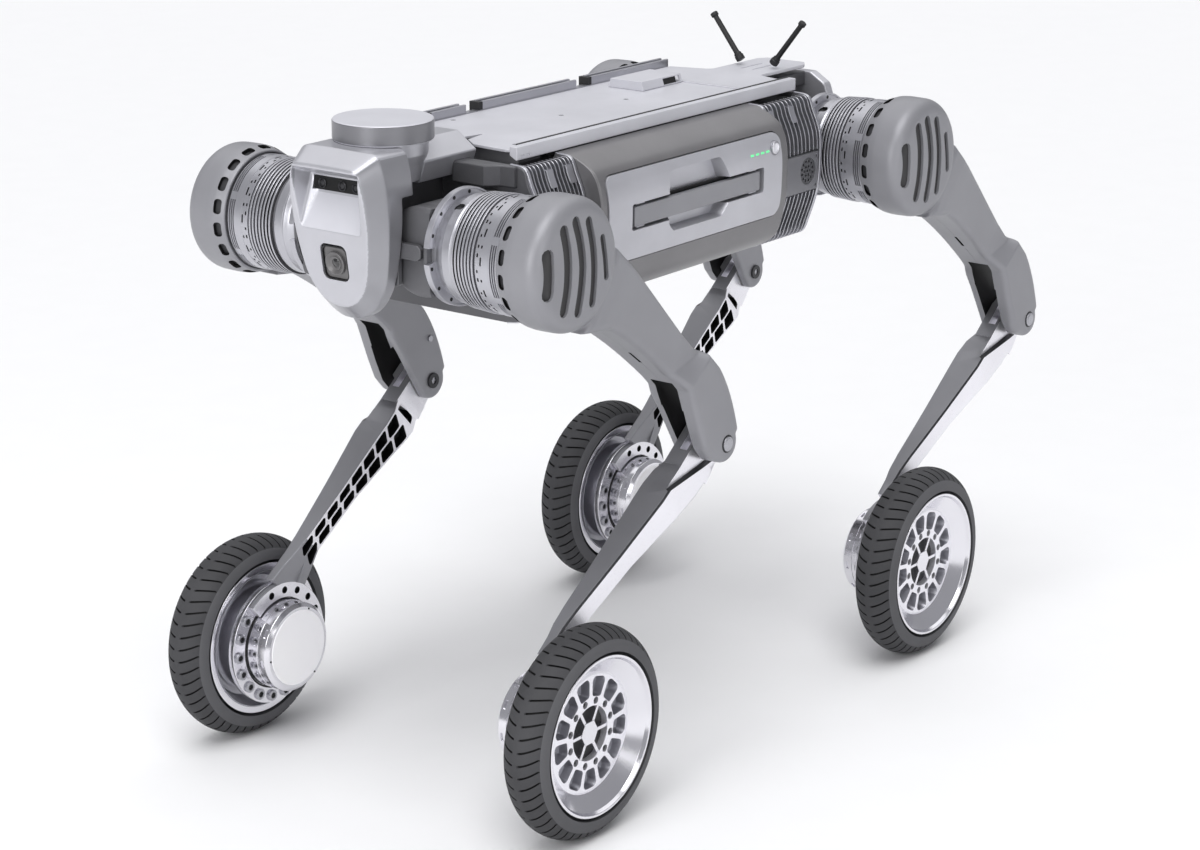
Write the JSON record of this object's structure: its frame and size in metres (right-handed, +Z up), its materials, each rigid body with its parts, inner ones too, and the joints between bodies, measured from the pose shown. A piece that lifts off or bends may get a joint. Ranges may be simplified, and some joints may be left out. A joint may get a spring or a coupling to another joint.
{
  "type": "wheeled quadruped robot",
  "caption": "Legged robot on powered wheels, with linkage-driven knees, a slide-out battery, a flat payload deck, a camera head and a round scanner.",
  "frame": {"origin": "on the ground, under the middle of the bounding box, with the robot standing", "axes": "+X forward, +Y the robot's left, +Z up"},
  "size_m": [1.0567, 0.5142, 0.7396],
  "materials": {
    "light_paint": "satin",
    "head_paint": "satin",
    "grey_paint": "matte",
    "thigh_paint": "satin",
    "dark_paint": "matte",
    "bare_aluminium": "satin",
    "polished_metal": "polished",
    "steel": "satin",
    "tyre_rubber": "matte",
    "black_plastic": "matte",
    "lens_glass": "gloss"
  },
  "bodies": {
    "trunk": {"chassis": "dark_paint", "left_side_shell": "grey_paint", "right_side_shell": "grey_paint", "belly_cover": "grey_paint", "front_housing": "bare_aluminium", "rear_housing": "bare_aluminium", "deck_plate": "light_paint", "rear_cover": "light_paint", "left_rail": "light_paint", "right_rail": "bare_aluminium", "head_shell": "head_paint", "depth_camera": "lens_glass", "front_camera": "black_plastic", "scanner_neck": "head_paint", "scanner_cap": "light_paint"},
    "battery": {"battery_pack": "head_paint", "battery_handle": "grey_paint"},
    "button": {"power_button": "polished_metal"},
    "antenna_left": {"left_antenna": "black_plastic"},
    "antenna_right": {"right_antenna": "black_plastic"},
    "front_left_hip": {"front_left_hip_actuator": "bare_aluminium"},
    "front_left_thigh": {"front_left_thigh_shell": "thigh_paint", "front_left_thigh_frame": "thigh_paint", "front_left_knee_pin": "steel"},
    "front_left_crank": {"front_left_knee_crank": "steel"},
    "front_left_rod": {"front_left_push_rod": "steel"},
    "front_left_shin": {"front_left_calf": "bare_aluminium", "front_left_hub_motor": "bare_aluminium"},
    "front_left_wheel": {"front_left_rim": "polished_metal", "front_left_tyre": "tyre_rubber"},
    "front_right_hip": {"front_right_hip_actuator": "bare_aluminium"},
    "front_right_thigh": {"front_right_thigh_shell": "thigh_paint", "front_right_thigh_frame": "thigh_paint", "front_right_knee_pin": "steel"},
    "front_right_crank": {"front_right_knee_crank": "steel"},
    "front_right_rod": {"front_right_push_rod": "steel"},
    "front_right_shin": {"front_right_calf": "bare_aluminium", "front_right_hub_motor": "bare_aluminium"},
    "front_right_wheel": {"front_right_rim": "polished_metal", "front_right_tyre": "tyre_rubber"},
    "rear_left_hip": {"rear_left_hip_actuator": "bare_aluminium"},
    "rear_left_thigh": {"rear_left_thigh_shell": "thigh_paint", "rear_left_thigh_frame": "thigh_paint", "rear_left_knee_pin": "steel"},
    "rear_left_crank": {"rear_left_knee_crank": "steel"},
    "rear_left_rod": {"rear_left_push_rod": "steel"},
    "rear_left_shin": {"rear_left_calf": "bare_aluminium", "rear_left_hub_motor": "bare_aluminium"},
    "rear_left_wheel": {"rear_left_rim": "polished_metal", "rear_left_tyre": "tyre_rubber"},
    "rear_right_hip": {"rear_right_hip_actuator": "bare_aluminium"},
    "rear_right_thigh": {"rear_right_thigh_shell": "thigh_paint", "rear_right_thigh_frame": "thigh_paint", "rear_right_knee_pin": "steel"},
    "rear_right_crank": {"rear_right_knee_crank": "steel"},
    "rear_right_rod": {"rear_right_push_rod": "steel"},
    "rear_right_shin": {"rear_right_calf": "bare_aluminium", "rear_right_hub_motor": "bare_aluminium"},
    "rear_right_wheel": {"rear_right_rim": "polished_metal", "rear_right_tyre": "tyre_rubber"}
  },
  "joints": [
    {"name": "battery_slide", "type": "slide", "parent": "trunk", "child": "battery", "axis": [0, -1, 0], "range_m": [-0.22, 0]},
    {"name": "power_button_press", "type": "slide", "parent": "battery", "child": "button", "axis": [0, -1, 0], "range_m": [0, 0.0012], "stiffness_N_per_m": 800},
    {"name": "left_antenna_tilt", "type": "hinge", "parent": "trunk", "child": "antenna_left", "pos_m": [-0.2329, 0.022, 0.684], "axis": [-1, 0, 0], "range_deg": [-38, 20]},
    {"name": "right_antenna_tilt", "type": "hinge", "parent": "trunk", "child": "antenna_right", "pos_m": [-0.2329, -0.022, 0.684], "axis": [1, 0, 0], "range_deg": [-38, 20]},
    {"name": "front_left_abduction", "type": "hinge", "parent": "trunk", "child": "front_left_hip", "pos_m": [0.4176, 0.072, 0.5964], "axis": [1, 0, 0], "range_deg": [-22, 44]},
    {"name": "front_left_hip_pitch", "type": "hinge", "parent": "front_left_hip", "child": "front_left_thigh", "pos_m": [0.4176, 0.2, 0.5964], "axis": [0, 1, 0], "range_deg": [-100, 60]},
    {"name": "front_left_knee", "type": "hinge", "parent": "front_left_thigh", "child": "front_left_shin", "pos_m": [0.15761, 0.2, 0.35438], "axis": [0, -1, 0], "range_deg": [-64, 48]},
    {"name": "front_left_crank_turn", "type": "hinge", "parent": "front_left_thigh", "child": "front_left_crank", "pos_m": [0.4176, 0.2, 0.5964], "axis": [0, -1, 0], "range_deg": [-65, 49]},
    {"name": "front_left_rod_turn", "type": "hinge", "parent": "front_left_crank", "child": "front_left_rod", "pos_m": [0.39739, 0.2, 0.61578], "axis": [0, 1, 0], "range_deg": [-65, 49]},
    {"name": "front_left_wheel_spin", "type": "hinge", "parent": "front_left_shin", "child": "front_left_wheel", "pos_m": [0.41059, 0.2314, 0.11178], "axis": [0, 1, 0], "continuous": true},
    {"name": "front_right_abduction", "type": "hinge", "parent": "trunk", "child": "front_right_hip", "pos_m": [0.4176, -0.072, 0.5964], "axis": [1, 0, 0], "range_deg": [-44, 22]},
    {"name": "front_right_hip_pitch", "type": "hinge", "parent": "front_right_hip", "child": "front_right_thigh", "pos_m": [0.4176, -0.2, 0.5964], "axis": [0, 1, 0], "range_deg": [-100, 60]},
    {"name": "front_right_knee", "type": "hinge", "parent": "front_right_thigh", "child": "front_right_shin", "pos_m": [0.15761, -0.2, 0.35438], "axis": [0, -1, 0], "range_deg": [-64, 48]},
    {"name": "front_right_crank_turn", "type": "hinge", "parent": "front_right_thigh", "child": "front_right_crank", "pos_m": [0.4176, -0.2, 0.5964], "axis": [0, -1, 0], "range_deg": [-65, 49]},
    {"name": "front_right_rod_turn", "type": "hinge", "parent": "front_right_crank", "child": "front_right_rod", "pos_m": [0.39739, -0.2, 0.61578], "axis": [0, 1, 0], "range_deg": [-65, 49]},
    {"name": "front_right_wheel_spin", "type": "hinge", "parent": "front_right_shin", "child": "front_right_wheel", "pos_m": [0.41059, -0.2314, 0.11178], "axis": [0, 1, 0], "continuous": true},
    {"name": "rear_left_abduction", "type": "hinge", "parent": "trunk", "child": "rear_left_hip", "pos_m": [-0.2394, 0.072, 0.5964], "axis": [1, 0, 0], "range_deg": [-22, 44]},
    {"name": "rear_left_hip_pitch", "type": "hinge", "parent": "rear_left_hip", "child": "rear_left_thigh", "pos_m": [-0.2394, 0.2, 0.5964], "axis": [0, 1, 0], "range_deg": [-42, 60]},
    {"name": "rear_left_knee", "type": "hinge", "parent": "rear_left_thigh", "child": "rear_left_shin", "pos_m": [-0.49939, 0.2, 0.35438], "axis": [0, -1, 0], "range_deg": [-64, 48]},
    {"name": "rear_left_crank_turn", "type": "hinge", "parent": "rear_left_thigh", "child": "rear_left_crank", "pos_m": [-0.2394, 0.2, 0.5964], "axis": [0, -1, 0], "range_deg": [-65, 49]},
    {"name": "rear_left_rod_turn", "type": "hinge", "parent": "rear_left_crank", "child": "rear_left_rod", "pos_m": [-0.25961, 0.2, 0.61578], "axis": [0, 1, 0], "range_deg": [-65, 49]},
    {"name": "rear_left_wheel_spin", "type": "hinge", "parent": "rear_left_shin", "child": "rear_left_wheel", "pos_m": [-0.24641, 0.2314, 0.11178], "axis": [0, 1, 0], "continuous": true},
    {"name": "rear_right_abduction", "type": "hinge", "parent": "trunk", "child": "rear_right_hip", "pos_m": [-0.2394, -0.072, 0.5964], "axis": [1, 0, 0], "range_deg": [-44, 22]},
    {"name": "rear_right_hip_pitch", "type": "hinge", "parent": "rear_right_hip", "child": "rear_right_thigh", "pos_m": [-0.2394, -0.2, 0.5964], "axis": [0, 1, 0], "range_deg": [-42, 60]},
    {"name": "rear_right_knee", "type": "hinge", "parent": "rear_right_thigh", "child": "rear_right_shin", "pos_m": [-0.49939, -0.2, 0.35438], "axis": [0, -1, 0], "range_deg": [-64, 48]},
    {"name": "rear_right_crank_turn", "type": "hinge", "parent": "rear_right_thigh", "child": "rear_right_crank", "pos_m": [-0.2394, -0.2, 0.5964], "axis": [0, -1, 0], "range_deg": [-65, 49]},
    {"name": "rear_right_rod_turn", "type": "hinge", "parent": "rear_right_crank", "child": "rear_right_rod", "pos_m": [-0.25961, -0.2, 0.61578], "axis": [0, 1, 0], "range_deg": [-65, 49]},
    {"name": "rear_right_wheel_spin", "type": "hinge", "parent": "rear_right_shin", "child": "rear_right_wheel", "pos_m": [-0.24641, -0.2314, 0.11178], "axis": [0, 1, 0], "continuous": true}
  ],
  "couplings": [
    {"joint": "front_left_crank_turn", "follows": "front_left_knee", "ratio": 1},
    {"joint": "front_left_rod_turn", "follows": "front_left_knee", "ratio": 1},
    {"joint": "front_right_crank_turn", "follows": "front_right_knee", "ratio": 1},
    {"joint": "front_right_rod_turn", "follows": "front_right_knee", "ratio": 1},
    {"joint": "rear_left_crank_turn", "follows": "rear_left_knee", "ratio": 1},
    {"joint": "rear_left_rod_turn", "follows": "rear_left_knee", "ratio": 1},
    {"joint": "rear_right_crank_turn", "follows": "rear_right_knee", "ratio": 1},
    {"joint": "rear_right_rod_turn", "follows": "rear_right_knee", "ratio": 1}
  ]
}
